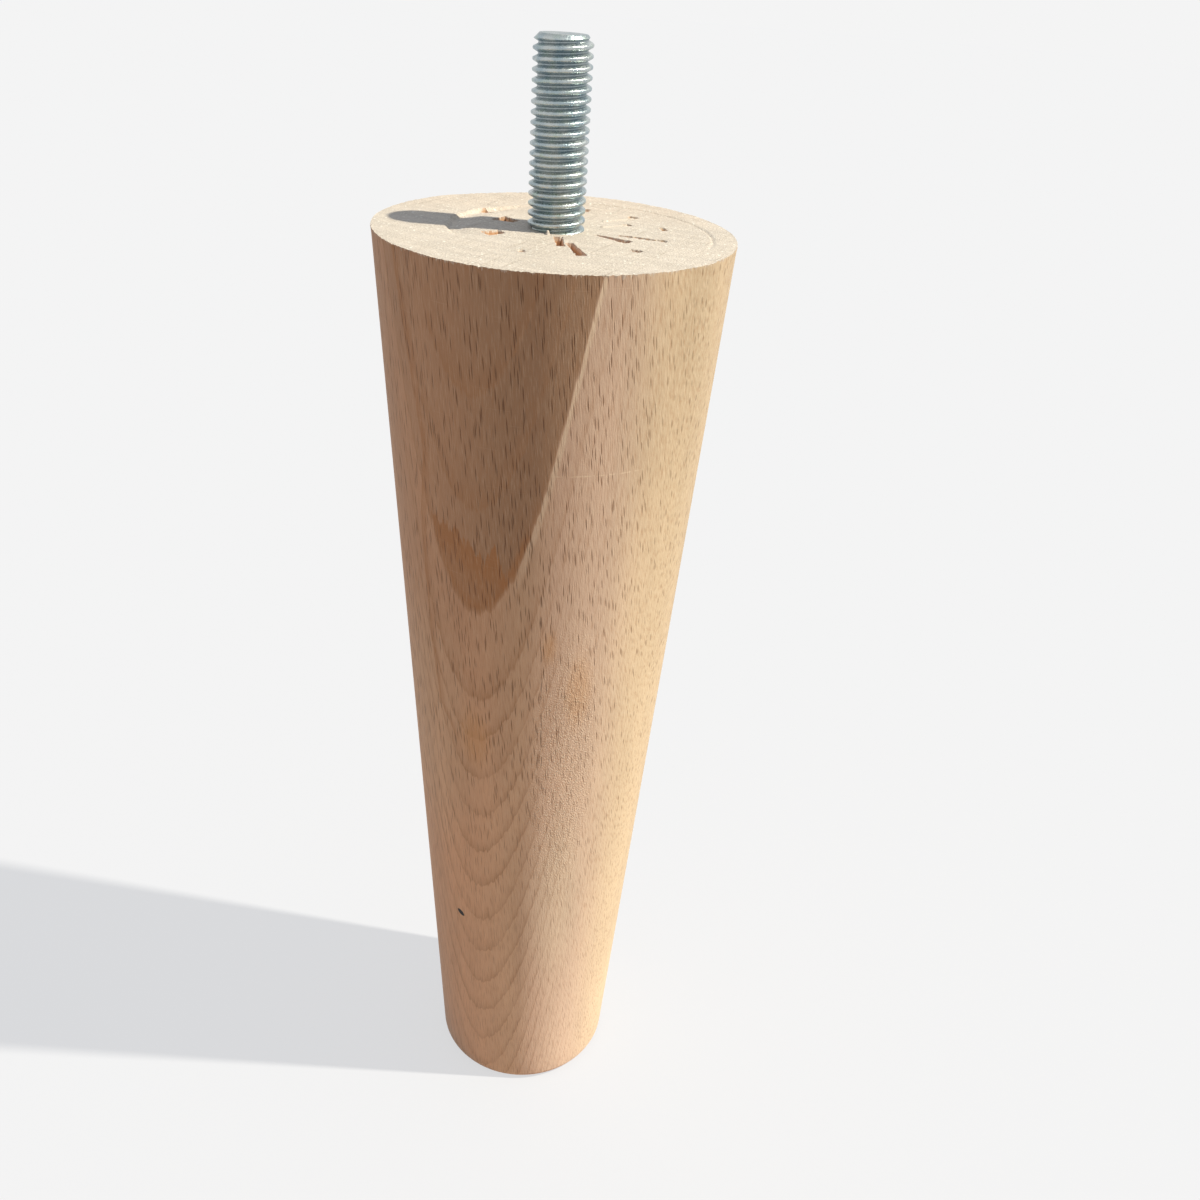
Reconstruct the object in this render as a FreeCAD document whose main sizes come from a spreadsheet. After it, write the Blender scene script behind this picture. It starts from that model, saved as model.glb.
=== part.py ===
import FreeCAD, Part
import os
import Sketcher

# A tapered round furniture leg, turned from one piece of beech, with a hanger bolt in its top end.
# Millimetres, +Z up. The origin is the centre of the foot, and the leg stands on the plane z = 0.

# Driving sizes: alias, value, meaning
DRIVING_SIZES = [
    ("leg_height", 155.0, "foot plane to top face"),
    ("top_diameter", 49.2, "round end that meets the furniture"),
    ("foot_diameter", 31.0, "where the taper would meet the floor"),
    ("foot_rounding", 1.8, "radius of the eased foot edge"),
    ("stud_diameter", 7.75, "crests of the M8 machine thread"),
    ("stud_length", 23.7, "free end of the bolt above the top face"),
    ("stud_chamfer", 0.8, "lead-in at the free end of the bolt"),
    ("runout_length", 2.0, "cone from the machine thread down to the core"),
    ("core_diameter", 6.0, "core of the wood-screw end"),
    ("buried_length", 34.0, "length of the bolt inside the leg"),
    ("point_length", 5.0, "gimlet point of the wood-screw end"),
    ("bolt_clearance", 0.05, "radial room between the bolt and its hole"),
    ("drill_allowance", 1.0, "pilot hole below the tip of the bolt"),
    ("drill_angle", 118.0, "included angle of the drilled bottom, degrees"),
]

SHEET = "sizes"
FULL_TURN = 360
EDGE_TOLERANCE = 1e-4

# Radii and heights as sheet expressions
LEG_HEIGHT = f"{SHEET}.leg_height"
TOP_RADIUS = f"{SHEET}.top_diameter / 2"
FOOT_RADIUS = f"{SHEET}.foot_diameter / 2"
STUD_RADIUS = f"{SHEET}.stud_diameter / 2"
CORE_RADIUS = f"{SHEET}.core_diameter / 2"
BURIED = f"{SHEET}.buried_length"
BOLT_LENGTH = f"{BURIED} + {SHEET}.stud_length"
RUNOUT_START = f"{BURIED} - {SHEET}.runout_length"
HOLE_RADIUS = f"{CORE_RADIUS} + {SHEET}.bolt_clearance"
MOUTH_RADIUS = f"{STUD_RADIUS} + {SHEET}.bolt_clearance"
MOUTH_BOTTOM = f"{LEG_HEIGHT} - {SHEET}.runout_length"
HOLE_BOTTOM = f"{LEG_HEIGHT} - {BURIED} - {SHEET}.drill_allowance"
DRILL_TIP = f"{HOLE_BOTTOM} - ({HOLE_RADIUS}) / tan({SHEET}.drill_angle / 2)"
ON_AXIS = "0"
ON_FLOOR = "0"


def make_sheet(doc):
    """Write one row per driving size: name, value with its alias, meaning."""
    sheet = doc.addObject("Spreadsheet::Sheet", SHEET)
    for row, (alias, value, meaning) in enumerate(DRIVING_SIZES, start=1):
        sheet.set(f"A{row}", alias)
        sheet.set(f"B{row}", str(value))
        sheet.setAlias(f"B{row}", alias)
        sheet.set(f"C{row}", meaning)
    doc.recompute()
    return sheet


def origin_plane(body, role):
    """The body's own origin plane with this role."""
    return next(plane for plane in body.Origin.OriginFeatures if plane.Role == role)


def draw_section(body, name, corners):
    """A closed half section in the XZ plane, its corners bound to (radius, height) expressions."""
    sketch = body.newObject("Sketcher::SketchObject", name)
    sketch.AttachmentSupport = (origin_plane(body, "XZ_Plane"), [""])
    sketch.MapMode = "FlatFace"
    points = [
        FreeCAD.Vector(float(sketch.evalExpression(radius)), float(sketch.evalExpression(height)), 0)
        for radius, height in corners
    ]
    count = len(points)
    for index in range(count):
        sketch.addGeometry(Part.LineSegment(points[index], points[(index + 1) % count]), False)
    for index in range(count):
        sketch.addConstraint(Sketcher.Constraint("Coincident", index, 2, (index + 1) % count, 1))
    for index, (radius, height) in enumerate(corners):
        bind_corner(sketch, index, "DistanceX", "V", radius, points[index].x)
        bind_corner(sketch, index, "DistanceY", "H", height, points[index].y)
    return sketch


def bind_corner(sketch, index, kind, axis, expression, value):
    """Hold the start of one side on a sketch axis, or at a distance given by an expression."""
    axis_line = {"H": -1, "V": -2}[axis]
    sketch_origin = (-1, 1)
    if expression in (ON_AXIS, ON_FLOOR):
        sketch.addConstraint(Sketcher.Constraint("PointOnObject", index, 1, axis_line))
        return
    place = sketch.addConstraint(Sketcher.Constraint(kind, *sketch_origin, index, 1, value))
    constraint_name = f"corner_{index}_{kind}"
    sketch.renameConstraint(place, constraint_name)
    sketch.setExpression(f"Constraints.{constraint_name}", expression)


def turn(body, feature_type, name, sketch):
    """Revolve or groove a half section through a full turn about the body's Z axis."""
    feature = body.newObject(feature_type, name)
    feature.Profile = sketch
    feature.ReferenceAxis = (sketch, ["V_Axis"])
    feature.Angle = FULL_TURN
    body.Document.recompute()
    return feature


def round_edge_at(feature, radius, height):
    """Name of the circular edge with this radius that lies flat at this height."""
    for index, edge in enumerate(feature.Shape.Edges, start=1):
        box = edge.BoundBox
        flat = abs(box.ZMax - height) < EDGE_TOLERANCE and abs(box.ZMin - height) < EDGE_TOLERANCE
        if flat and abs(box.XMax - radius) < EDGE_TOLERANCE:
            return f"Edge{index}"
    raise RuntimeError(f"no round edge of radius {radius} at height {height}")


def ease_edge(body, feature_type, name, base, edge, size_property, alias):
    """Fillet or chamfer one edge by a size from the sheet."""
    feature = body.newObject(feature_type, name)
    feature.Base = (base, [edge])
    feature.setExpression(size_property, f"{SHEET}.{alias}")
    body.Document.recompute()
    return feature


def make_leg(doc, sheet):
    """The turned leg: a tapered round with an eased foot and a pilot hole in the top end grain."""
    body = doc.addObject("PartDesign::Body", "turned_leg")
    taper = draw_section(
        body,
        "taper_section",
        [(ON_AXIS, ON_FLOOR), (FOOT_RADIUS, ON_FLOOR), (TOP_RADIUS, LEG_HEIGHT), (ON_AXIS, LEG_HEIGHT)],
    )
    blank = turn(body, "PartDesign::Revolution", "tapered_round", taper)
    foot_edge = round_edge_at(blank, sheet.foot_diameter / 2, 0)
    foot = ease_edge(body, "PartDesign::Fillet", "eased_foot", blank, foot_edge, "Radius", "foot_rounding")
    solid_volume = foot.Shape.Volume
    hole = draw_section(
        body,
        "pilot_hole_section",
        [
            (ON_AXIS, DRILL_TIP),
            (HOLE_RADIUS, HOLE_BOTTOM),
            (HOLE_RADIUS, MOUTH_BOTTOM),
            (MOUTH_RADIUS, LEG_HEIGHT),
            (ON_AXIS, LEG_HEIGHT),
        ],
    )
    drilled = turn(body, "PartDesign::Groove", "pilot_hole", hole)
    if drilled.Shape.Volume >= solid_volume:
        raise RuntimeError("the pilot hole removed no wood")
    return body


def make_bolt(doc, sheet):
    """The hanger bolt: machine-thread stud, run-out cone, wood-screw core and gimlet point."""
    body = doc.addObject("PartDesign::Body", "hanger_bolt")
    section = draw_section(
        body,
        "bolt_section",
        [
            (ON_AXIS, ON_FLOOR),
            (CORE_RADIUS, f"{SHEET}.point_length"),
            (CORE_RADIUS, RUNOUT_START),
            (STUD_RADIUS, BURIED),
            (STUD_RADIUS, BOLT_LENGTH),
            (ON_AXIS, BOLT_LENGTH),
        ],
    )
    blank = turn(body, "PartDesign::Revolution", "bolt_blank", section)
    tip_height = sheet.buried_length + sheet.stud_length
    tip_edge = round_edge_at(blank, sheet.stud_diameter / 2, tip_height)
    ease_edge(body, "PartDesign::Chamfer", "lead_in", blank, tip_edge, "Size", "stud_chamfer")
    # The bolt's own origin is its point, and the free end leaves the wood at the top face.
    body.setExpression(".Placement.Base.z", f"{LEG_HEIGHT} - {BURIED}")
    return body


def check_document(doc, subparts):
    """Stop if any object failed to recompute or any sub-part is not one sound solid."""
    for item in doc.Objects:
        if "Invalid" in item.State or "Error" in item.State:
            raise RuntimeError(f"{item.Label} failed: {item.State}")
    for item in subparts:
        if item.Shape.isNull() or not item.Shape.isValid() or len(item.Shape.Solids) != 1:
            raise RuntimeError(f"{item.Label} is not one valid solid")


def main():
    doc = FreeCAD.newDocument("furniture_leg")
    sheet = make_sheet(doc)
    subparts = [make_leg(doc, sheet), make_bolt(doc, sheet)]
    doc.recompute()
    check_document(doc, subparts)
    os.makedirs("parts", exist_ok=True)
    for item in subparts:
        item.Shape.exportStep(f"parts/{item.Label}.step")
        print(item.Label, round(item.Shape.Volume, 1), item.Shape.BoundBox)


main()
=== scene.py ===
import math

import bmesh
import bpy
import numpy as np
from mathutils import Matrix, Vector, noise


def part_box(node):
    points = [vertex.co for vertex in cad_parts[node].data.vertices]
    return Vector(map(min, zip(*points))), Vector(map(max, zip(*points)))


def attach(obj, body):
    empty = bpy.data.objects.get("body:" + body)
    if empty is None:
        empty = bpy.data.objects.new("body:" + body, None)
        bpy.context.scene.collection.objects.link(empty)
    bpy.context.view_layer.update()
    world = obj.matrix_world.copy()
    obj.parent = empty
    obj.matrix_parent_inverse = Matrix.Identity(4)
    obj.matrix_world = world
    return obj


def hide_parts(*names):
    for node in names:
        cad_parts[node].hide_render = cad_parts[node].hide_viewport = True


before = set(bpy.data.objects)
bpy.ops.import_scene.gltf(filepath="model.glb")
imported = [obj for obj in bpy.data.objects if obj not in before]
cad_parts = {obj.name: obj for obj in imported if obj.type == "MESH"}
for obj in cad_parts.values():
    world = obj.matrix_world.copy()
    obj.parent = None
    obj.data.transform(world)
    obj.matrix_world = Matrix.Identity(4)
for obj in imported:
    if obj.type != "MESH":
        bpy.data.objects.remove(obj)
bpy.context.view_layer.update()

# The frame is in metres, and the shapes below are worked out in millimetres
MM = 0.001

# Sizes from the frame, in millimetres
_, LEG_HIGH = (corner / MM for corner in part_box("turned_leg"))
BOLT_LOW, BOLT_HIGH = (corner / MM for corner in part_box("hanger_bolt"))
TOP = LEG_HIGH.z
TOP_RADIUS = LEG_HIGH.x
STUD_RADIUS = BOLT_HIGH.x
STUD_TIP = BOLT_HIGH.z
BOLT_POINT = BOLT_LOW.z

# Sizes that the boxes do not give, in millimetres
FOOT_RADIUS = 15.5
FOOT_ROUNDING = 1.8
CORE_RADIUS = 3.0
POINT_LENGTH = 5.0
RUNOUT = 2.0
STUD_CHAMFER = 0.8
THREAD_PITCH = 1.25
THREAD_DEPTH = 0.7
HOLE_ROOM = 0.05
HOLE_DEPTH_ALLOWANCE = 1.0
DRILL_TIP = 1.83
MOUTH_RADIUS = 3.3
MOUTH_EDGE = 0.5

# Camera: place in millimetres, angles in radians, focal length for a 36 mm sensor
CAMERA_PLACE = (0.0, -158.06, 188.18)
CAMERA_YAW = -0.0608
CAMERA_PITCH = -0.52069
CAMERA_ROLL = 0.07256
SENSOR = 36.0
FOCAL = 34.016

# Light: a sun from the right and a little in front, and an even, slightly cool dome
SUN_AZIMUTH = math.radians(-6.6)
SUN_ELEVATION = math.radians(50.0)
SUN_SPREAD = math.radians(1.2)
SUN_STRENGTH = 4.45
SUN_COLOUR = (1.0, 0.95, 0.80)
DOME_COLOUR = (0.33, 0.37, 0.43, 1.0)
PALE = (0.905, 0.905, 0.905, 1.0)

# Floor: the colour that it shows, the colour that it reflects onto the leg,
# its own glow, and its radius in metres
FLOOR_SEEN = (0.636, 0.643, 0.697, 1.0)
FLOOR_BOUNCE = (0.37, 0.22, 0.115, 1.0)
FLOOR_GLOW = 0.7
FLOOR_RADIUS = 4.0
FLOOR_SEGMENTS = 64


# Mesh building

def mesh_object(name, vertices, faces, crease):
    """A smooth mesh object from millimetre vertices, sharp where it bends by more than crease degrees."""
    mesh = bpy.data.meshes.new(name)
    mesh.from_pydata([Vector(v) * MM for v in vertices], [], faces)
    mesh.validate()
    mesh.shade_smooth()
    mesh.set_sharp_from_angle(angle=math.radians(crease))
    piece = bpy.data.objects.new(name, mesh)
    bpy.context.scene.collection.objects.link(piece)
    return piece


def lathe_faces(ring_count, columns, first):
    """Quads between neighbouring rings of a turned surface whose vertices start at index first."""
    faces = []
    for ring in range(ring_count - 1):
        low = first + ring * columns
        high = low + columns
        for column in range(columns):
            after = (column + 1) % columns
            faces.append((low + column, low + after, high + after, high + column))
    return faces


def pole_faces(pole, ring_start, columns, reverse):
    """Triangles from one ring to a pole vertex."""
    faces = []
    for column in range(columns):
        pair = (ring_start + column, ring_start + (column + 1) % columns)
        faces.append((pole, *(pair[::-1] if reverse else pair)))
    return faces


# The turned leg

# Fineness of its mesh: columns around, (outer radius, ring step) of each zone of the top,
# ring step of the side, depths of the rings under the rim, rings of the foot's rounding,
# rings of the foot as shares of its radius, and the bend in degrees from which an edge is sharp
LEG_COLUMNS = 480
TOP_RING_STEPS = ((4.6, 0.24), (16.4, 0.14), (22.8, 0.23), (TOP_RADIUS, 0.18))
SIDE_STEP = 4.2
RIM_DEPTHS = (0.1, 0.22, 0.38, 0.6, 0.9, 1.3, 1.9, 2.8)
ROUNDING_RINGS = 9
FOOT_RING_SHARES = (0.8, 0.6, 0.4, 0.2)
LEG_CREASE = 38.0

# Roughness of the end grain: (size of the bumps, height)
FINE_BUMPS = ((0.7, 0.7, 1.0), 0.035)
BROAD_BUMPS = ((4.0, 4.0, 1.0), 0.05)

# Tear-outs left by the drive centre in the top end grain:
# (start radius, end radius, start angle, end angle, start width, end width, depth), millimetres and degrees
CHIPS = (
    (5.2, 10.21, -86.5, -86.0, 1.0, 0.82, 1.19),
    (8.48, 14.95, -77.5, -77.2, 0.82, 1.09, 1.0),
    (6.02, 11.31, -25.0, -31.0, 0.32, 1.37, 0.82),
    (8.84, 15.32, -14.6, -15.8, 0.46, 0.68, 0.64),
    (13.95, 15.41, -45.8, -45.0, 0.46, 1.0, 0.55),
    (14.95, 15.59, 13.5, 13.5, 1.55, 1.73, 0.55),
    (9.66, 11.49, 24.5, 25.8, 0.27, 1.09, 0.73),
    (13.59, 15.23, 41.0, 43.0, 0.27, 1.37, 0.73),
    (13.31, 14.77, 71.5, 72.0, 0.55, 0.82, 0.55),
    (13.22, 14.77, 133.0, 135.0, 0.36, 1.0, 0.55),
    (6.38, 9.12, 152.0, 150.0, 1.46, 2.74, 0.82),
    (8.11, 10.58, 208.5, 210.5, 1.64, 2.1, 0.55),
    (14.04, 14.95, -107.0, -106.0, 0.46, 0.73, 0.46),
)

# Width of their walls, raggedness of their outlines as (size, height), and how uneven their floors are
CHIP_EDGE = 0.1
CHIP_RAGGED = ((0.5, 0.5, 1.0), 0.12)
CHIP_LEAST_DEPTH = 0.8
CHIP_UNEVEN = 1.6

# Thin splinters that stand up beside some of the tear-outs, in the same form with a height
SPLINTERS = (
    (6.75, 10.39, 22.0, 23.5, 0.27, 0.36, 0.16),
    (9.12, 14.22, 43.5, 40.5, 0.27, 0.41, 0.16),
    (3.74, 4.29, -106.0, -104.0, 0.23, 0.14, 0.5),
)
SPLINTER_EDGE = 0.2

# Part-circle dent of the drive centre: a steep wall at its radius, and a floor that rises inwards
DENT_RADIUS = 14.86
DENT_WANDER = ((3.0, 3.0, 1.0), 0.35)
DENT_WIDTH = 3.83
DENT_FLOOR = 0.15 * DENT_WIDTH
DENT_WALL = 0.5
DENT_DEPTH = 0.46
DENT_MIDDLE = math.radians(160.0)
DENT_REACH = math.radians(62.0)
DENT_FULL_REACH = 0.55 * DENT_REACH

# Scored circle near the right-hand rim, a little off centre
SCORE_CENTRE = (2.2, -0.45)
SCORE_RADIUS = 19.06
SCORE_WIDTH = 0.35
SCORE_DEPTH = 0.2
SCORE_MIDDLE = math.radians(35.0)
SCORE_REACH = math.radians(62.0)
SCORE_FULL_REACH = 0.7 * SCORE_REACH

# Frayed rim: size of its fibres, how far they stand out and wear down, over what distances that fades,
# and how many rings of the top it takes in
FRAY_SIZE = (0.4, 0.4, 2.5)
FRAY_OUT = 0.1
FRAY_OUT_FADE = (0.05, 1.2)
FRAY_DOWN = 0.14
FRAY_DOWN_FADE = (0.0, 0.3)
FRAY_TOP_RINGS = 3

# Name of the mesh value that is 1 where the end grain is torn out
TORN_MARK = "torn"


def turn_between(angle, middle):
    """Signed angle from middle to angle, between minus pi and pi."""
    return (angle - middle + np.pi) % (2 * np.pi) - np.pi


def fade(value, inner, outer):
    """1 inside inner, 0 outside outer, smooth between."""
    share = np.clip((outer - value) / (outer - inner), 0.0, 1.0)
    return share * share * (3 - 2 * share)


def polar(radius, degrees):
    """A point on the top face."""
    return np.array([radius * math.cos(math.radians(degrees)), radius * math.sin(math.radians(degrees))])


def slot_shape(x, y, slot, edge):
    """How far each point lies inside a tapered slot, from 0 outside to 1 in its floor."""
    start_radius, end_radius, start_angle, end_angle, start_width, end_width, _ = slot
    start = polar(start_radius, start_angle)
    end = polar(end_radius, end_angle)
    length = np.linalg.norm(end - start)
    axis = (end - start) / length
    along = (x - start[0]) * axis[0] + (y - start[1]) * axis[1]
    across = np.abs((x - start[0]) * -axis[1] + (y - start[1]) * axis[0])
    half = (start_width + (end_width - start_width) * np.clip(along / length, 0, 1)) / 2
    inside = np.minimum(half - across, np.minimum(along, length - along))
    return fade(-inside, 0.0, edge)


def noise_at(points, size, height=1.0):
    """Smooth noise of this height at each point, with features about as long as size along each axis."""
    scale = Vector([1 / s for s in size])
    return height * np.array([noise.noise(Vector(p) * scale) for p in points])


def top_relief(x, y):
    """Height of the worn end grain above the ideal top plane, and how far each point is torn out."""
    flat = np.column_stack([x, y, np.zeros_like(x)])
    height = noise_at(flat, *FINE_BUMPS) + noise_at(flat, *BROAD_BUMPS)

    dent_turn = np.abs(turn_between(np.arctan2(y, x), DENT_MIDDLE))
    inward = DENT_RADIUS + noise_at(flat, *DENT_WANDER) - np.hypot(x, y)
    dent = np.clip(inward / DENT_WALL, 0.0, 1.0) * fade(inward, DENT_FLOOR, DENT_WIDTH)
    height -= DENT_DEPTH * fade(dent_turn, DENT_FULL_REACH, DENT_REACH) * dent

    off_x = x - SCORE_CENTRE[0]
    off_y = y - SCORE_CENTRE[1]
    score_turn = np.abs(turn_between(np.arctan2(off_y, off_x), SCORE_MIDDLE))
    off_score = np.abs(np.hypot(off_x, off_y) - SCORE_RADIUS)
    score_share = fade(score_turn, SCORE_FULL_REACH, SCORE_REACH)
    height -= SCORE_DEPTH * score_share * fade(off_score, 0.0, SCORE_WIDTH)

    ragged = noise_at(flat, *CHIP_RAGGED)
    torn = np.zeros_like(x)
    for chip in CHIPS:
        share = slot_shape(x + ragged, y + ragged, chip, CHIP_EDGE)
        height -= chip[-1] * share * (CHIP_LEAST_DEPTH + CHIP_UNEVEN * np.abs(ragged))
        torn = np.maximum(torn, share)
    for splinter in SPLINTERS:
        height += splinter[-1] * slot_shape(x, y, splinter, SPLINTER_EDGE)
    return height, torn


def leg_rings():
    """Radius and height of each ring of the ideal leg, from the bottom of the bore to the foot's middle."""
    hole = CORE_RADIUS + HOLE_ROOM
    hole_bottom = BOLT_POINT - HOLE_DEPTH_ALLOWANCE
    bore = [(hole, z) for z in (hole_bottom, (hole_bottom + TOP) / 2, TOP - RUNOUT)]
    bore.append((MOUTH_RADIUS, TOP - MOUTH_EDGE))

    top = [(MOUTH_RADIUS, TOP)]
    for zone_end, step in TOP_RING_STEPS:
        zone_start = top[-1][0]
        count = round((zone_end - zone_start) / step)
        top += [(r, TOP) for r in np.linspace(zone_start, zone_end, count + 1)[1:]]

    slope = (TOP_RADIUS - FOOT_RADIUS) / TOP
    taper = math.atan(slope)
    centre_r = FOOT_RADIUS + slope * FOOT_ROUNDING - FOOT_ROUNDING / math.cos(taper)
    rounding = [
        (centre_r + FOOT_ROUNDING * math.cos(a), FOOT_ROUNDING + FOOT_ROUNDING * math.sin(a))
        for a in np.linspace(-taper, -math.pi / 2, ROUNDING_RINGS)
    ]
    foot = [(centre_r * share, 0.0) for share in FOOT_RING_SHARES]

    side_bottom = rounding[0][1]
    side_top = TOP - RIM_DEPTHS[-1]
    side_count = round((side_top - side_bottom) / SIDE_STEP)
    heights = [TOP - d for d in RIM_DEPTHS] + list(np.linspace(side_top, side_bottom, side_count + 1)[1:-1])
    side = [(FOOT_RADIUS + slope * z, z) for z in heights]
    return bore, top, side, rounding + foot


def fray_rim(points):
    """Let short fibres stand out of the rim or break away from it; the points are changed in place."""
    away = np.abs(TOP - points[:, 2])
    fray = noise_at(points, FRAY_SIZE) * fade(away, *FRAY_OUT_FADE)
    spread = 1 + FRAY_OUT * fray / np.hypot(points[:, 0], points[:, 1])
    points[:, 0] *= spread
    points[:, 1] *= spread
    points[:, 2] -= FRAY_DOWN * np.clip(fray, 0, 1) * fade(away, *FRAY_DOWN_FADE)


def make_leg():
    """The turned leg with its torn end grain, frayed rim and pilot hole, as one closed mesh."""
    bore, top, side, foot = leg_rings()
    rings = np.array(bore + top + side + foot)
    angles = np.linspace(0, 2 * np.pi, LEG_COLUMNS, endpoint=False)
    radius = np.repeat(rings[:, 0], LEG_COLUMNS)
    height = np.repeat(rings[:, 1], LEG_COLUMNS)
    turn = np.tile(angles, len(rings))
    points = np.column_stack([radius * np.cos(turn), radius * np.sin(turn), height])

    first_top = len(bore) * LEG_COLUMNS
    last_top = first_top + len(top) * LEG_COLUMNS
    last_side = last_top + len(side) * LEG_COLUMNS
    on_top = slice(first_top, last_top)
    relief, torn = top_relief(points[on_top, 0], points[on_top, 1])
    points[on_top, 2] += relief
    fray_rim(points[last_top - FRAY_TOP_RINGS * LEG_COLUMNS:last_side])

    vertices = points.tolist()
    faces = [face[::-1] for face in lathe_faces(len(rings), LEG_COLUMNS, 0)]
    drill_tip = len(vertices)
    vertices.append((0.0, 0.0, rings[0, 1] - DRILL_TIP))
    foot_middle = len(vertices)
    vertices.append((0.0, 0.0, 0.0))
    faces += pole_faces(drill_tip, 0, LEG_COLUMNS, False)
    faces += pole_faces(foot_middle, (len(rings) - 1) * LEG_COLUMNS, LEG_COLUMNS, True)
    piece = mesh_object("leg_wood", vertices, faces, LEG_CREASE)
    marks = np.zeros(len(vertices))
    marks[on_top] = torn
    piece.data.attributes.new(TORN_MARK, "FLOAT", "POINT").data.foreach_set("value", marks)
    return piece


# The hanger bolt

# Columns around, spare turns of thread rows that the ends cut off, tip rings as shares of its radius,
# and the bend in degrees from which an edge is sharp
BOLT_COLUMNS = 96
SPARE_TURNS = 3
TIP_RING_SHARES = (1.0, 0.93, 0.6, 0.3)
BOLT_CREASE = 60.0

# Vertices this close are one, and faces this thin are dropped, in metres
WELD_DISTANCE = 2e-6
SLIVER = 1e-7

# The machine thread: its start and the turn of its helix as a share of a pitch,
# and one pitch of it as (share of the pitch, share of the depth below the crests)
THREAD_LOW = TOP - RUNOUT
THREAD_PHASE = 0.39
THREAD_STATIONS = (
    (0.0, 0.02), (0.065, 0.0), (0.13, 0.02), (0.20, 0.13), (0.30, 0.45), (0.41, 0.88),
    (0.48, 1.0), (0.58, 1.0), (0.65, 0.88), (0.76, 0.45), (0.86, 0.13), (0.93, 0.02),
)


def stud_limit(z):
    """Largest radius of the bolt at a height: the run-out below the top face and the chamfer at the tip."""
    runout = CORE_RADIUS + (STUD_RADIUS - CORE_RADIUS) * np.clip((z - THREAD_LOW) / RUNOUT, 0, 1)
    chamfer = STUD_RADIUS - np.clip(z - (STUD_TIP - STUD_CHAMFER), 0, STUD_CHAMFER)
    return np.minimum(runout, chamfer)


def thread_rows(turns, angles):
    """Vertices of the thread in rows that climb one pitch a turn, held between the run-out and the tip."""
    vertices = []
    stations = len(THREAD_STATIONS)
    for row in range(turns * stations):
        share, depth = THREAD_STATIONS[row % stations]
        start = THREAD_LOW + (row // stations + share - 1 - THREAD_PHASE) * THREAD_PITCH
        z = np.clip(start + THREAD_PITCH * angles / (2 * np.pi), THREAD_LOW, STUD_TIP)
        r = np.minimum(STUD_RADIUS - THREAD_DEPTH * depth, stud_limit(z))
        vertices += np.column_stack([r * np.cos(angles), r * np.sin(angles), z]).tolist()
    return vertices


def thread_faces(vertices, turns):
    """Quads between neighbouring rows. At the seam a row goes on as the row one turn later."""
    faces = []
    stations = len(THREAD_STATIONS)
    for row in range((turns - 1) * stations - 1):
        for column in range(BOLT_COLUMNS):
            seam = column == BOLT_COLUMNS - 1
            after = 0 if seam else column + 1
            row_after = row + stations if seam else row
            corners = (
                row * BOLT_COLUMNS + column,
                row_after * BOLT_COLUMNS + after,
                (row_after + 1) * BOLT_COLUMNS + after,
                (row + 1) * BOLT_COLUMNS + column,
            )
            heights = {vertices[corner][2] for corner in corners}
            if heights not in ({THREAD_LOW}, {STUD_TIP}):
                faces.append(corners)
    return faces


def add_ring(vertices, radius, z, angles):
    """Add one level ring of vertices, and give the index of its first."""
    first = len(vertices)
    level = np.full(len(angles), z)
    vertices.extend(np.column_stack([radius * np.cos(angles), radius * np.sin(angles), level]).tolist())
    return first


def weld(piece):
    """Join vertices that fall together, drop slivers and loose vertices, and turn all faces outwards."""
    shape = bmesh.new()
    shape.from_mesh(piece.data)
    bmesh.ops.remove_doubles(shape, verts=shape.verts, dist=WELD_DISTANCE)
    bmesh.ops.dissolve_degenerate(shape, edges=shape.edges, dist=SLIVER)
    loose = [v for v in shape.verts if not v.link_faces]
    bmesh.ops.delete(shape, geom=loose, context="VERTS")
    bmesh.ops.recalc_face_normals(shape, faces=shape.faces)
    shape.to_mesh(piece.data)
    shape.free()
    piece.data.set_sharp_from_angle(angle=math.radians(BOLT_CREASE))


def make_bolt():
    """The bolt with its point, core, helical machine thread and flat tip, as one closed mesh."""
    turns = math.ceil((STUD_TIP - THREAD_LOW) / THREAD_PITCH) + SPARE_TURNS
    angles = np.linspace(0, 2 * np.pi, BOLT_COLUMNS, endpoint=False)
    vertices = thread_rows(turns, angles)
    faces = thread_faces(vertices, turns)

    shank = add_ring(vertices, CORE_RADIUS, BOLT_POINT + POINT_LENGTH, angles)
    add_ring(vertices, CORE_RADIUS, THREAD_LOW, angles)
    faces += lathe_faces(2, BOLT_COLUMNS, shank)
    point = len(vertices)
    vertices.append((0.0, 0.0, BOLT_POINT))
    faces += pole_faces(point, shank, BOLT_COLUMNS, True)

    tip_radius = STUD_RADIUS - STUD_CHAMFER
    tip_rings = [add_ring(vertices, tip_radius * share, STUD_TIP, angles) for share in TIP_RING_SHARES]
    faces += lathe_faces(len(tip_rings), BOLT_COLUMNS, tip_rings[0])
    tip = len(vertices)
    vertices.append((0.0, 0.0, STUD_TIP))
    faces += pole_faces(tip, tip_rings[-1], BOLT_COLUMNS, False)

    piece = mesh_object("hanger_bolt_thread", vertices, faces, BOLT_CREASE)
    weld(piece)
    return piece


# Material nodes

SHADER = "Principled BSDF"

# Places of the colour sockets on a mix node
MIX_FIRST = 6
MIX_SECOND = 7
MIX_RESULT = 2


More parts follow.
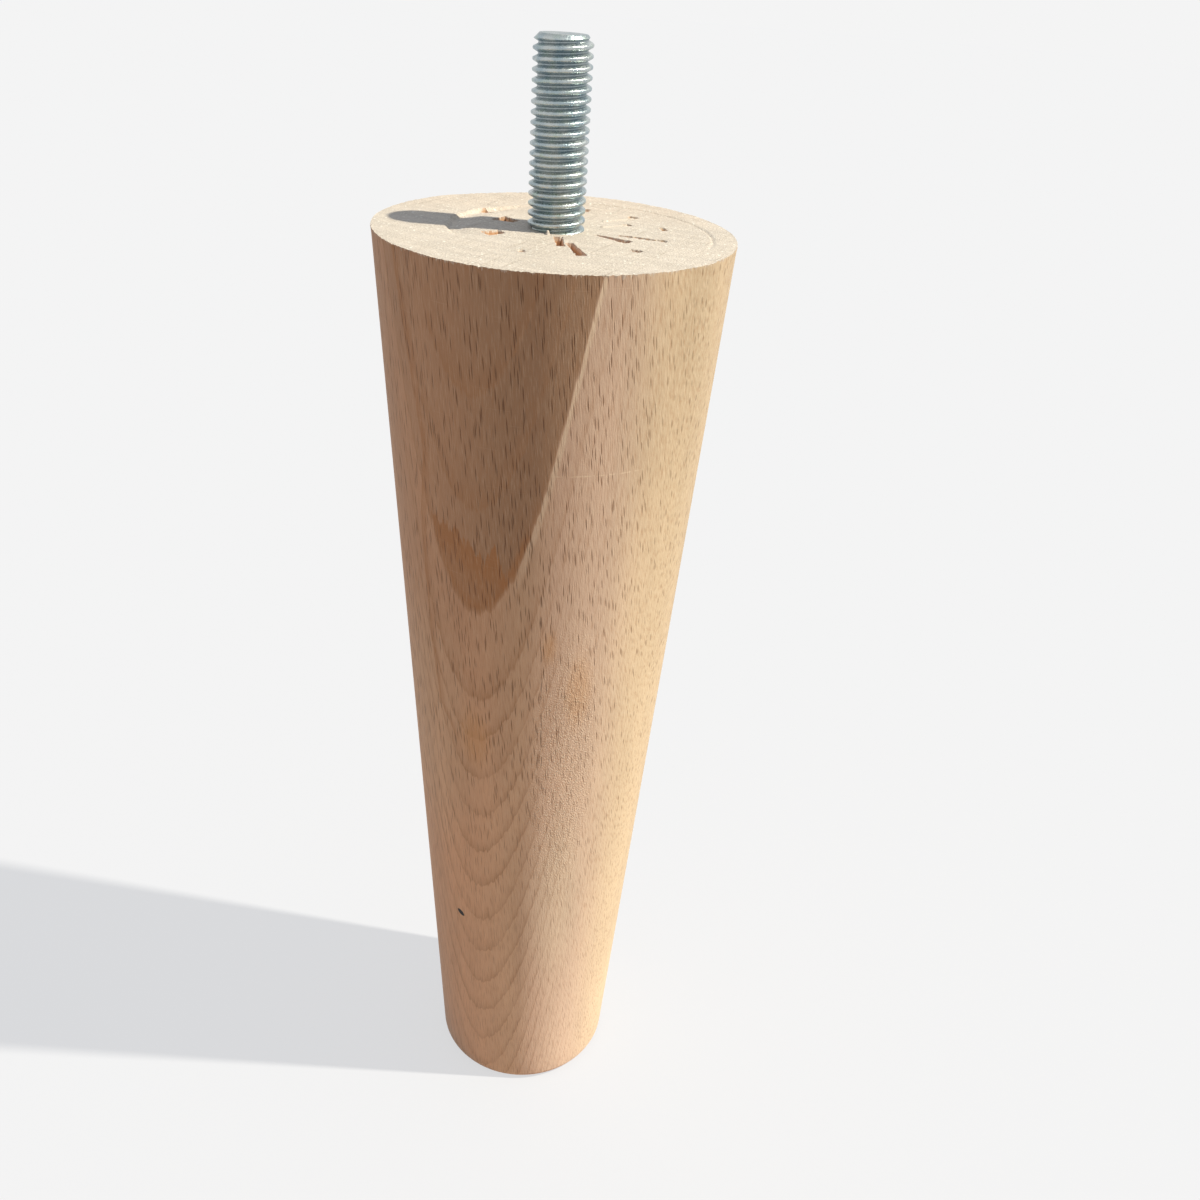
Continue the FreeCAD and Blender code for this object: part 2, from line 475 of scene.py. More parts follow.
class Graph:
    """Short calls for the nodes of a material or world. A value is a number, a colour or a node's output."""

    def __init__(self, owner):
        owner.use_nodes = True
        self.owner = owner
        self.tree = owner.node_tree

    def new(self, kind):
        return self.tree.nodes.new(kind)

    def socket(self, node_name, socket_name):
        """An input of a node that the tree starts with."""
        return self.tree.nodes[node_name].inputs[socket_name]

    def feed(self, socket, value):
        if isinstance(value, bpy.types.NodeSocket):
            self.tree.links.new(value, socket)
        else:
            socket.default_value = value

    def feed_all(self, node, values):
        """Feed the node's first inputs, and give its first output."""
        for socket, value in zip(node.inputs, values):
            self.feed(socket, value)
        return node.outputs[0]

    def math(self, operation, *values):
        node = self.new("ShaderNodeMath")
        node.operation = operation
        return self.feed_all(node, values)

    def vector(self, operation, *values):
        node = self.new("ShaderNodeVectorMath")
        node.operation = operation
        return self.feed_all(node, values)

    def length(self, vector):
        node = self.new("ShaderNodeVectorMath")
        node.operation = "LENGTH"
        self.feed(node.inputs[0], vector)
        return node.outputs["Value"]

    def combine(self, x, y, z):
        return self.feed_all(self.new("ShaderNodeCombineXYZ"), (x, y, z))

    def split(self, value):
        node = self.new("ShaderNodeSeparateXYZ")
        self.feed(node.inputs[0], value)
        return node.outputs[:]

    def ease(self, value, low, high, at_low=0.0, at_high=1.0):
        """Smooth step from at_low to at_high as value goes from low to high."""
        node = self.new("ShaderNodeMapRange")
        node.interpolation_type = "SMOOTHSTEP"
        return self.feed_all(node, (value, low, high, at_low, at_high))

    def fall(self, value, low, high):
        """Smooth step down from 1 to 0 as value goes from low to high."""
        return self.ease(value, low, high, 1.0, 0.0)

    def mix(self, share, first, second, blend="MIX"):
        node = self.new("ShaderNodeMix")
        node.data_type = "RGBA"
        node.blend_type = blend
        self.feed(node.inputs[0], share)
        self.feed(node.inputs[MIX_FIRST], first)
        self.feed(node.inputs[MIX_SECOND], second)
        return node.outputs[MIX_RESULT]

    def times(self, first, *others):
        for other in others:
            first = self.math("MULTIPLY", first, other)
        return first

    def tint(self, colour, factor):
        """The colour times a factor."""
        return self.mix(1.0, colour, factor, "MULTIPLY")

    def scaled(self, point, size):
        """The point in units of size along each axis."""
        return self.vector("DIVIDE", point, size)

    def noise(self, point, size, detail):
        node = self.new("ShaderNodeTexNoise")
        self.feed(node.inputs["Vector"], self.scaled(point, size))
        node.inputs["Scale"].default_value = 1.0
        node.inputs["Detail"].default_value = detail
        return node.outputs[0]

    def wander(self, point, size, amount, detail):
        """Noise about zero, with this full range."""
        return self.math("MULTIPLY_ADD", self.noise(point, size, detail), amount, -amount / 2)

    def marks(self, point, size, width, pick):
        """Scattered marks in cells of this size: each fades out over width, and pick says which show."""
        node = self.new("ShaderNodeTexVoronoi")
        self.feed(node.inputs["Vector"], self.scaled(point, size))
        node.inputs["Scale"].default_value = 1.0
        chance = self.split(node.outputs["Color"])[0]
        return self.times(self.fall(node.outputs["Distance"], *width), self.ease(chance, *pick))

    def curve(self, value, stops):
        """Straight lines through (place, level) stops, places and levels between 0 and 1."""
        node = self.new("ShaderNodeValToRGB")
        elements = node.color_ramp.elements
        while len(elements) < len(stops):
            elements.new(0.5)
        for element, (place, level) in zip(elements, stops):
            element.position = place
            element.color = (level, level, level, 1.0)
        self.feed(node.inputs[0], value)
        return node.outputs[0]

    def point(self, unit):
        """The surface point in the frame's axes, in this unit."""
        node = self.new("ShaderNodeTexCoord")
        return self.vector("DIVIDE", node.outputs["Object"], (unit, unit, unit))

    def mesh_value(self, name):
        """A value stored on the mesh."""
        node = self.new("ShaderNodeAttribute")
        node.attribute_name = name
        return node.outputs["Fac"]

    def normal(self):
        return self.new("ShaderNodeNewGeometry").outputs["Normal"]

    def bump(self, height):
        """Bump from a height in millimetres."""
        node = self.new("ShaderNodeBump")
        node.inputs["Distance"].default_value = MM
        self.feed(node.inputs["Height"], height)
        self.feed(self.socket(SHADER, "Normal"), node.outputs[0])

    def finish(self, **inputs):
        """Feed the shader's inputs by name, and give the material."""
        for name, value in inputs.items():
            self.feed(self.socket(SHADER, name.replace("_", " ")), value)
        return self.owner


# The beech

# The figure is laid out in units of one 170th of the leg's height, a little under a millimetre.
# In what follows a size is the length of one feature along each axis, a noise is (size, detail)
# and a wander is (size, full range, detail). A step is (from, to), with the levels at both
# where they aren't 0 and 1, or 1 and 0 in a fall. Distances around the leg are taken at the figure radius.
FIGURE_HEIGHT = 170.0
FIGURE_UNIT = TOP * MM / FIGURE_HEIGHT
FIGURE_RADIUS = 21.0
QUARTER_TURN = 90.0

# Wood colours
# The pale and the warm beech are the lit right and the shaded left: the wood's tones with painted light and
# painted warm shade in them. The rosy and cream tints are painted tints of sunlit wood.
PALE_LIT_BEECH = (0.87, 0.70, 0.50, 1.0)
WARM_SHADED_BEECH = (0.83, 0.54, 0.355, 1.0)
BROWN_BEECH = (0.40, 0.26, 0.165, 1.0)
ROSY_SUNLIT_TINT = (1.0, 0.955, 1.04, 1.0)
CREAM_SUNLIT_TINT = (0.95, 0.95, 0.90, 1.0)
RING_LINE = (0.45, 0.25, 0.13, 1.0)
FLECK_TINT = (0.38, 0.29, 0.23, 1.0)
LIGHT_FIBRE = (0.92, 0.78, 0.60, 1.0)
STAIN = (0.46, 0.22, 0.088, 1.0)
AMBER = (0.72, 0.42, 0.20, 1.0)
# Floors of the tear-outs: torn wood, darkened with painted shade
CHIP_FLOOR_WITH_SHADE = (0.52, 0.27, 0.12, 1.0)
END_GRAIN = (0.645, 0.56, 0.475, 1.0)
END_GRAIN_LIGHT = (0.80, 0.72, 0.60, 1.0)
END_GRAIN_LINE = (0.44, 0.36, 0.28, 1.0)
TUFT = (0.93, 0.88, 0.78, 1.0)
BLACK_SPECK = (0.012, 0.011, 0.01, 1.0)
CHECK = (0.10, 0.05, 0.03, 1.0)

# Growth rings: the tree's middle line leans past the leg, so the taper cuts the rings into nested tongues.
# Ring values are distances from that line, which a slow sway and a fine jag disturb.
PITH_X, PITH_X_LEAN = 67.4, -0.0347
PITH_Y, PITH_Y_LEAN = 130.6, 0.0524
PITH_DIRECTION = (0.459, 0.888)
RING_SWAY = ((18.0, 18.0, 60.0), 0.5, 2.0)
RING_JAG = ((0.55, 0.55, 7.0), 0.3, 3.0)
CLOSE_RING = 0.8
WIDE_RING = 1.6
WIDE_RINGS_FROM = 172.9
HEART_RING = 174.6

# Ring lines: how fast each fades inwards, its sharp edge, its uneven strength and its fading to the right
LINE_FADE = 5.0
LINE_EDGE = (0.0, 0.05)
LINE_CLOUD = ((6.0, 6.0, 20.0), 2.0)
LINE_STRENGTH = (0.3, 0.7, 0.35, 0.8)
LINE_ACROSS = (-2.0, 8.0, 1.0, 0.4)

# Tones of the side, the wood's own tones with painted light in them: warm on the shaded left and pale on the
# lit right (partly painted warm shade and light), darker towards the top and lighter at the foot (partly
# painted bounce from the floor), a rosy band in front and cream on the sun-facing right (painted tints of
# sunlit wood), and soft clouds
PALE_ACROSS = (-14.0, 8.0)
DARKER_UP = (50.0, 165.0)
TOP_LEFT_ACROSS = (-5.0, 8.0)
TOP_LEFT_TONE = 0.73
TOP_RIGHT_TONE = (13.0, 24.0, 0.83, 0.74)
FOOT_TONE_AND_BOUNCE = (8.0, 40.0, 1.07, 1.0)
ROSY_FROM = (-3.0, 3.0)
ROSY_TO = (8.0, 16.0)
CREAM_ACROSS = (11.0, 21.0)
TONE_CLOUD = ((7.0, 7.0, 45.0), 3.0)
CLOUD_TONE = (0.3, 0.7, 0.92, 1.05)

# Soft patches: (centre, size, strength, colour), and the step over which a patch fades
# Painted light: a pale rim light along the left edge, and painted sunlight just past the shade line low on
# the front
PAINTED_LIGHT_PATCHES = (
    ((-17.0, -13.0, 90.0), (13.0, 13.0, 34.0), 0.4, PALE_LIT_BEECH),
    ((4.5, -18.0, 55.0), (7.0, 7.0, 32.0), 0.6, LIGHT_FIBRE),
)
AMBER_PATCHES = (
    ((-10.0, -20.0, 90.5), (4.0, 4.0, 8.0), 0.55, AMBER),
    ((6.8, -22.0, 102.0), (3.0, 3.0, 10.0), 0.4, AMBER),
    ((1.8, -24.0, 111.0), (1.8, 1.8, 5.0), 0.5, AMBER),
)
PATCH_FADE = (0.3, 1.0)

# Darker wood past the heart ring, strongest on the right of its tongue, with a thin pale line beside it
HEART_EDGE = (HEART_RING - 0.08, HEART_RING + 0.08)
HEART_ACROSS = (-18.0, -3.0, 0.25, 0.95)
PALE_LINE_FROM = (HEART_RING - 0.45, HEART_RING - 0.25)
PALE_LINE_TO = (HEART_RING - 0.1, HEART_RING)
PALE_LINE_ACROSS = (-5.0, -1.0)
PALE_LINE_SHARE = 0.75

# Stained tongue inside the heart ring: its upper edge as (place across the front, height),
# the teeth of that edge, how the stain fades below it, and the thin outline of the tongue
TONGUE_LEFT = -20.0
TONGUE_SPAN = 20.0
TONGUE_TOP = (
    (-18.6, 133.0), (-17.2, 131.0), (-15.5, 130.5), (-13.1, 130.6), (-10.8, 128.0),
    (-8.5, 126.0), (-7.0, 128.4), (-5.6, 124.5), (-4.6, 121.0), (-3.6, 118.5),
)
TONGUE_TEETH = ((0.4, 0.4, 30.0), 7.0, 3.0)
TONGUE_EDGE = (0.0, 0.6)
TONGUE_DOWN = (2.0, 9.0, 0.8, 0.4)
TONGUE_ACROSS = (-19.0, -17.0)
OUTLINE_WIDTH = (HEART_RING + 0.1, HEART_RING + 0.35, 0.6, 0.0)
OUTLINE_TOP = (128.0, 134.0)

# Reddish line down the left side, sharp on its left: (height, degrees from the front)
LEFT_LINE = (
    (86.0, -35.0), (90.5, -38.0), (95.2, -45.0), (107.0, -48.3), (120.0, -49.5),
    (130.5, -49.3), (141.0, -45.5), (153.0, -49.7), (170.0, -56.0),
)
LEFT_LINE_WANDER = ((0.6, 0.6, 7.0), 0.6, 3.0)
LEFT_LINE_SHARP = (-0.15, 0.1)
LEFT_LINE_SOFT = (0.2, 1.8)
LEFT_LINE_UP = (84.0, 94.0)
LEFT_LINE_SHARE = 0.5

# Fibre streaks, dark and light
FIBRE = ((0.11, 0.5, 3.0), 3.0)
FIBRE_DARK = (0.3, 0.5, 0.4, 0.0)
FIBRE_LIGHT = (0.5, 0.7, 0.0, 0.25)

# Raised fibres on the front: the zone as (centre, size, strength), its fuzz and its short hairs, whose light
# colour is a painted glint of the grazing sun
FUZZ_ZONE = ((5.0, -21.5, 84.0), (7.5, 7.5, 38.0), 1.0)
FUZZ = ((0.2, 0.2, 0.35), 2.0)
HAIR_SIZE = (0.35, 0.35, 0.5)
HAIR_WIDTH = (0.15, 0.38)
HAIR_PICK = (0.45, 0.55)
HAIR_GLINT_SHARE = 0.85

# Sanding scratches around the leg, and one deeper scratch near the top with its two ends and its breaks
SCRATCH = ((10.0, 1.0, 0.16), 2.0)
SCRATCH_PICK = (0.66, 0.8)
SCRATCH_SHARE = 0.3
DEEP_SCRATCH_HEIGHT = 141.1
DEEP_SCRATCH_WIDTH = (0.06, 0.16)
DEEP_SCRATCH_FROM = (0.0, 2.0)
DEEP_SCRATCH_TO = (10.0, 13.0)
DEEP_SCRATCH_CLOUD = ((0.8, 0.8, 0.8), 2.0)
DEEP_SCRATCH_BREAKS = (0.35, 0.55)
DEEP_SCRATCH_SHARE = 0.6

# Ray flecks, stronger up the leg and weaker to the right, with short dots on the far right
FLECK_SIZE = (0.24, 0.8, 5.4)
FLECK_WIDTH = (0.14, 0.40)
FLECK_PICK = (0.3, 0.5)
FLECK_UP = (30.0, 100.0, 0.3, 0.95)
FLECK_ACROSS = (0.0, 18.0, 1.0, 0.55)
DOT_SIZE = (0.6, 0.9, 1.6)
DOT_WIDTH = (0.15, 0.4)
DOT_PICK = (0.6, 0.7)
DOT_ACROSS = (15.0, 19.0, 0.0, 0.45)

# Hairline check in broken lengths on the front: a leaning line with its width, reach and breaks
CHECK_LEAN, CHECK_FOOT = -0.0368, 4.55
CHECK_WANDER = ((3.0, 3.0, 3.0), 0.5, 2.0)
CHECK_WIDTH = (0.03, 0.11)
CHECK_FRONT = (-18.0, -16.0)
CHECK_PLACE = ((0.8, -23.0, 103.0), (6.0, 6.0, 21.0))
CHECK_REACH = (0.8, 1.0)
CHECK_CLOUD = ((1.0, 1.0, 3.5), 2.0)
CHECK_BREAKS = (0.44, 0.54)
CHECK_SHARE = 0.65

# Slanted black speck near the foot
SPECK_CENTRE = (-12.54, -15.17, 45.63)
SPECK_SIZE = (0.85, 0.95, 0.8)
SPECK_SLANT = 0.6
SPECK_EDGE = (0.75, 1.0)

# End grain: bands, an amber cast at the back, rays that show where the rings fade, light grit and torn tufts
BANDS = ((9.0, 1.6, 40.0), 2.0)
BAND_TONE = (0.35, 0.65, 0.92, 1.06)
BACK_AMBER = (2.0, 18.0, 0.0, 0.12)
RAYS = ((0.2, 9.0, 20.0), 2.0)
RAY_PICK = (0.5, 0.68)
RAY_CLOUD = ((7.0, 7.0, 7.0), 2.0)
RAY_PLACES = (0.4, 0.6)
RAY_SHARE = (0.0, 1.0, 0.25, 0.65)
END_RING_SHARE = 0.5
GRIT = ((0.3, 0.3, 1.0), 4.0)
GRIT_LIGHT = (0.5, 0.66, 0.0, 0.8)
TUFT_SIZE = (0.8, 0.6, 1.2)
TUFT_WIDTH = (0.12, 0.34)
TUFT_PICK = (0.65, 0.75)

# Where end grain shows: faces that look up, fibres that curl over the rim, and the floors of the tear-outs,
# which are coloured as torn wood darkened with painted shade
FACING_UP = (0.3, 0.6)
CURL_WANDER = ((0.35, 0.35, 4.0), 2.4, 2.0)
CURL_EDGE = (FIGURE_HEIGHT - 0.15, FIGURE_HEIGHT + 0.05)
TORN_EDGE = (0.3, 0.8)
TORN_TONE_AND_SHADE_SHARE = 0.85

# Fine relief in millimetres, and the sheen of raw wood
PLAIN_RELIEF = 0.015
FUZZ_RELIEF = 0.14
HAIR_RELIEF = 0.08
FIBRE_RELIEF = 0.045
FLECK_RELIEF = -0.04
GRIT_RELIEF = 0.14
BEECH_ROUGHNESS = (0.2, 0.8, 0.58, 0.74)
BEECH_SPECULAR = 0.35
BEECH_SHEEN = 0.12
BEECH_SHEEN_ROUGHNESS = 0.5


def ellipsoid(graph, point, centre, size):
    """Distance from centre in units of size along each axis."""
    return graph.length(graph.scaled(graph.vector("SUBTRACT", point, centre), size))


def spot(graph, point, centre, size, strength):
    """A soft patch that fades out at size from its centre."""
    return graph.ease(ellipsoid(graph, point, centre, size), *PATCH_FADE, strength, 0.0)


def add_patches(graph, point, colour, patches):
    """The colour with soft patches laid over it."""
    for centre, size, strength, patch_colour in patches:
        colour = graph.mix(spot(graph, point, centre, size, strength), colour, patch_colour)
    return colour


def wood_axes(graph, point):
    """The ring value at a point, and the point along the rings, across them and along the tree."""
    x, y, z = graph.split(point)
    from_x = graph.math("SUBTRACT", x, graph.math("MULTIPLY_ADD", z, PITH_X_LEAN, PITH_X))
    from_y = graph.math("SUBTRACT", y, graph.math("MULTIPLY_ADD", z, PITH_Y_LEAN, PITH_Y))
    squares = [graph.math("POWER", side, 2.0) for side in (from_x, from_y)]
    distance = graph.math("SQRT", graph.math("ADD", *squares))
    ring = graph.math("ADD", distance, graph.wander(point, *RING_SWAY))
    ring = graph.math("ADD", ring, graph.wander(point, *RING_JAG))
    along_x = graph.math("MULTIPLY", from_x, PITH_DIRECTION[1])
    along = graph.math("SUBTRACT", along_x, graph.math("MULTIPLY", from_y, PITH_DIRECTION[0]))
    return ring, graph.combine(along, ring, z)


def ring_lines(graph, ring):
    """Thin dark lines, one for each ring, sharp on the bark side and fading inwards."""
    close = graph.math("SUBTRACT", graph.math("MINIMUM", ring, WIDE_RINGS_FROM), WIDE_RINGS_FROM)
    wide = graph.math("SUBTRACT", graph.math("MAXIMUM", ring, WIDE_RINGS_FROM), WIDE_RINGS_FROM)
    count = graph.math("ADD", graph.math("DIVIDE", close, CLOSE_RING), graph.math("DIVIDE", wide, WIDE_RING))
    share = graph.math("FRACT", count)
    faded = graph.math("POWER", graph.math("SUBTRACT", 1.0, share), LINE_FADE)
    return graph.times(faded, graph.ease(share, *LINE_EDGE))


def side_tone(graph, point):
    """Colour of the plain side wood, before rings, stains and flecks, with painted shade and light in its
    tones and patches.
    """
    x, _, z = graph.split(point)
    # Warm on the shaded left and pale on the lit right: partly the wood's tones, partly painted warm shade
    # and painted light
    colour = graph.mix(graph.ease(x, *PALE_ACROSS), WARM_SHADED_BEECH, PALE_LIT_BEECH)
    # Darker up the leg and lighter at the foot: partly painted bounce light from the floor
    top_tone = graph.ease(x, *TOP_LEFT_ACROSS, TOP_LEFT_TONE, graph.ease(x, *TOP_RIGHT_TONE))
    colour = graph.tint(colour, graph.ease(z, *DARKER_UP, 1.0, top_tone))
    colour = graph.tint(colour, graph.ease(z, *FOOT_TONE_AND_BOUNCE))
    # Rosy band where the sun grazes and cream on the sun-facing right: painted tints of sunlit wood
    rosy = graph.times(graph.ease(x, *ROSY_FROM), graph.fall(x, *ROSY_TO))
    colour = graph.mix(rosy, colour, ROSY_SUNLIT_TINT, "MULTIPLY")
    colour = graph.mix(graph.ease(x, *CREAM_ACROSS), colour, CREAM_SUNLIT_TINT, "MULTIPLY")
    # Painted light patches: a rim light on the left edge and sunlight past the shade line
    colour = add_patches(graph, point, colour, PAINTED_LIGHT_PATCHES)
    return graph.tint(colour, graph.ease(graph.noise(point, *TONE_CLOUD), *CLOUD_TONE))


def tongue_stain(graph, point, ring, heart):
    """Share of the stain in the tongue: below its toothed edge, and along its thin outline."""
    x, _, z = graph.split(point)
    stops = [((across - TONGUE_LEFT) / TONGUE_SPAN, height / FIGURE_HEIGHT) for across, height in TONGUE_TOP]
    edge = graph.curve(graph.math("DIVIDE", graph.math("SUBTRACT", x, TONGUE_LEFT), TONGUE_SPAN), stops)
    teeth = graph.wander(point, *TONGUE_TEETH)
    depth = graph.math("SUBTRACT", graph.math("MULTIPLY_ADD", edge, FIGURE_HEIGHT, teeth), z)
    tongue = graph.times(
        heart,
        graph.ease(depth, *TONGUE_EDGE),
        graph.ease(depth, *TONGUE_DOWN),
        graph.ease(x, *TONGUE_ACROSS),
    )
    outline = graph.times(heart, graph.ease(ring, *OUTLINE_WIDTH), graph.fall(z, *OUTLINE_TOP))
    return graph.math("MAXIMUM", tongue, outline)


def left_line(graph, point, around):
    """Share of the stain in the reddish line."""
    z = graph.split(point)[2]
    stops = [(height / FIGURE_HEIGHT, -degrees / QUARTER_TURN) for height, degrees in LEFT_LINE]
    bend = graph.curve(graph.math("DIVIDE", z, FIGURE_HEIGHT), stops)
    line_angle = graph.math("MULTIPLY", bend, -math.radians(QUARTER_TURN))
    off_line = graph.math("SUBTRACT", around, graph.math("MULTIPLY", line_angle, FIGURE_RADIUS))
    off_line = graph.math("ADD", off_line, graph.wander(point, *LEFT_LINE_WANDER))
    red = graph.times(
        graph.ease(off_line, *LEFT_LINE_SHARP),
        graph.fall(off_line, *LEFT_LINE_SOFT),
        graph.ease(z, *LEFT_LINE_UP),
    )
    return graph.times(red, LEFT_LINE_SHARE)


def side_colour(graph, point, ring, line, around):
    """Colour of the side grain before flecks and fibres."""
    x = graph.split(point)[0]
    colour = side_tone(graph, point)
    heart = graph.ease(ring, *HEART_EDGE)
    colour = graph.mix(graph.times(heart, graph.ease(x, *HEART_ACROSS)), colour, BROWN_BEECH)
    pale_line = graph.times(graph.ease(ring, *PALE_LINE_FROM), graph.fall(ring, *PALE_LINE_TO))
    pale_line = graph.times(pale_line, graph.ease(x, *PALE_LINE_ACROSS), PALE_LINE_SHARE)
    colour = graph.mix(pale_line, colour, LIGHT_FIBRE)
    cloud = graph.ease(graph.noise(point, *LINE_CLOUD), *LINE_STRENGTH)
    strength = graph.times(cloud, graph.ease(x, *LINE_ACROSS))
    colour = graph.mix(graph.times(line, strength), colour, RING_LINE)
    colour = graph.mix(tongue_stain(graph, point, ring, heart), colour, STAIN)
    colour = graph.mix(left_line(graph, point, around), colour, STAIN)
    return add_patches(graph, point, colour, AMBER_PATCHES)


def scratches(graph, point, colour, around):
    """The colour with sanding scratches around the leg and one deeper scratch."""
    z = graph.split(point)[2]
    level = graph.combine(around, 0.0, z)
    fine = graph.ease(graph.noise(level, *SCRATCH), *SCRATCH_PICK)
    colour = graph.mix(graph.times(fine, SCRATCH_SHARE), colour, LIGHT_FIBRE)
    off_scratch = graph.math("ABSOLUTE", graph.math("SUBTRACT", z, DEEP_SCRATCH_HEIGHT))
    deep = graph.times(
        graph.fall(off_scratch, *DEEP_SCRATCH_WIDTH),
        graph.ease(around, *DEEP_SCRATCH_FROM),
        graph.fall(around, *DEEP_SCRATCH_TO),
        graph.ease(graph.noise(point, *DEEP_SCRATCH_CLOUD), *DEEP_SCRATCH_BREAKS),
    )
    return graph.mix(graph.times(deep, DEEP_SCRATCH_SHARE), colour, LIGHT_FIBRE)


def ray_flecks(graph, point, wood):
    """Share of the flecks and dots."""
    x, _, z = graph.split(point)
    fleck = graph.times(graph.marks(wood, FLECK_SIZE, FLECK_WIDTH, FLECK_PICK), graph.ease(z, *FLECK_UP))
    dot = graph.times(graph.marks(wood, DOT_SIZE, DOT_WIDTH, DOT_PICK), graph.ease(x, *DOT_ACROSS))
    return graph.times(graph.math("MAXIMUM", fleck, dot), graph.ease(x, *FLECK_ACROSS))


def check_and_speck(graph, point, colour):
    """The colour with the hairline check and the black speck."""
    x, y, z = graph.split(point)
    path = graph.math("MULTIPLY_ADD", z, CHECK_LEAN, CHECK_FOOT)
    off_check = graph.math("ADD", graph.math("SUBTRACT", x, path), graph.wander(point, *CHECK_WANDER))
    check = graph.times(
        graph.fall(graph.math("ABSOLUTE", off_check), *CHECK_WIDTH),
        graph.fall(y, *CHECK_FRONT),
        graph.fall(ellipsoid(graph, point, *CHECK_PLACE), *CHECK_REACH),
        graph.ease(graph.noise(graph.combine(0.0, 0.0, z), *CHECK_CLOUD), *CHECK_BREAKS),
    )
    colour = graph.mix(graph.times(check, CHECK_SHARE), colour, CHECK)
    slant = graph.math("MULTIPLY_ADD", z, SPECK_SLANT, -SPECK_SLANT * SPECK_CENTRE[2])
    slanted = graph.combine(graph.math("ADD", x, slant), y, z)
    speck = graph.fall(ellipsoid(graph, slanted, SPECK_CENTRE, SPECK_SIZE), *SPECK_EDGE)
    return graph.mix(speck, colour, BLACK_SPECK)


def end_grain_colour(graph, point, wood, line, grit):
    """Pale end grain with thin ring lines, fine rays and torn light fibres."""
    y = graph.split(point)[1]
    colour = graph.tint(END_GRAIN, graph.ease(graph.noise(wood, *BANDS), *BAND_TONE))
    colour = graph.mix(graph.ease(y, *BACK_AMBER), colour, AMBER)
    rays_here = graph.ease(graph.noise(point, *RAY_CLOUD), *RAY_PLACES)
    rings_here = graph.math("MULTIPLY_ADD", rays_here, -END_RING_SHARE, END_RING_SHARE)
    colour = graph.mix(graph.times(line, rings_here), colour, END_GRAIN_LINE)
    rays = graph.ease(graph.noise(wood, *RAYS), *RAY_PICK)
    colour = graph.mix(graph.times(rays, graph.ease(rays_here, *RAY_SHARE)), colour, END_GRAIN_LINE)
    colour = graph.mix(graph.ease(grit, *GRIT_LIGHT), colour, END_GRAIN_LIGHT)
    return graph.mix(graph.marks(point, TUFT_SIZE, TUFT_WIDTH, TUFT_PICK), colour, TUFT)


def beech_material():
    """Raw sanded beech as a solid: growth rings, ray flecks, fibre streaks, stains and pale end grain, with
    painted light and shade in its side tones, its hairs and its tear-outs.
    """
    graph = Graph(bpy.data.materials.new("raw_beech"))
    point = graph.point(FIGURE_UNIT)
    x, y, z = graph.split(point)
    ring, wood = wood_axes(graph, point)
    line = ring_lines(graph, ring)
    angle = graph.math("ARCTAN2", x, graph.math("MULTIPLY", y, -1.0))
    around = graph.math("MULTIPLY", angle, FIGURE_RADIUS)
    colour = side_colour(graph, point, ring, line, around)

    fibre = graph.noise(wood, *FIBRE)
    colour = graph.mix(graph.ease(fibre, *FIBRE_DARK), colour, RING_LINE)
    colour = graph.mix(graph.ease(fibre, *FIBRE_LIGHT), colour, LIGHT_FIBRE)
    fuzz_zone = spot(graph, point, *FUZZ_ZONE)
    # Short hairs in the fuzz zone: raised in the relief, and lightened as a painted glint of the sun on them
    hairs_and_glints = graph.times(graph.marks(point, HAIR_SIZE, HAIR_WIDTH, HAIR_PICK), fuzz_zone)
    colour = graph.mix(graph.times(hairs_and_glints, HAIR_GLINT_SHARE), colour, LIGHT_FIBRE)
    colour = scratches(graph, point, colour, around)
    fleck = ray_flecks(graph, point, wood)
    colour = graph.mix(fleck, colour, FLECK_TINT, "MULTIPLY")
    colour = check_and_speck(graph, point, colour)

    grit = graph.noise(point, *GRIT)
    facing_up = graph.ease(graph.split(graph.normal())[2], *FACING_UP)
    curl = graph.ease(graph.math("ADD", z, graph.wander(point, *CURL_WANDER)), *CURL_EDGE)
    end_share = graph.math("MAXIMUM", facing_up, curl)
    colour = graph.mix(end_share, colour, end_grain_colour(graph, point, wood, line, grit))
    # Tear-out floors: the colour of torn wood, darkened with painted shade
    torn = graph.ease(graph.mesh_value(TORN_MARK), *TORN_EDGE)
    colour = graph.mix(graph.times(torn, TORN_TONE_AND_SHADE_SHARE), colour, CHIP_FLOOR_WITH_SHADE)

    # Relief: raised grain on the front, fibres, flecks a little sunk, and rough end grain
    fuzz = graph.noise(point, *FUZZ)
    side_relief = graph.times(fuzz, graph.math("MULTIPLY_ADD", fuzz_zone, FUZZ_RELIEF, PLAIN_RELIEF))
    for mark, height in ((hairs_and_glints, HAIR_RELIEF), (fibre, FIBRE_RELIEF), (fleck, FLECK_RELIEF)):
        side_relief = graph.math("MULTIPLY_ADD", mark, height, side_relief)
    side_relief = graph.times(side_relief, graph.math("SUBTRACT", 1.0, facing_up))
    end_relief = graph.times(grit, GRIT_RELIEF, facing_up)
    graph.bump(graph.math("ADD", side_relief, end_relief))
    return graph.finish(
        Base_Color=colour,
        Roughness=graph.ease(fibre, *BEECH_ROUGHNESS),
        Specular_IOR_Level=BEECH_SPECULAR,
        Sheen_Weight=BEECH_SHEEN,
        Sheen_Roughness=BEECH_SHEEN_ROUGHNESS,
    )


# The zinc plating

ZINC_LIGHT = (0.49, 0.53, 0.53, 1.0)
ZINC_BLUE = (0.33, 0.41, 0.45, 1.0)
ZINC_GREEN = (0.39, 0.48, 0.42, 1.0)
# Painted shade for the thread roots
ZINC_ROOT_SHADE = (0.20, 0.23, 0.24, 1.0)

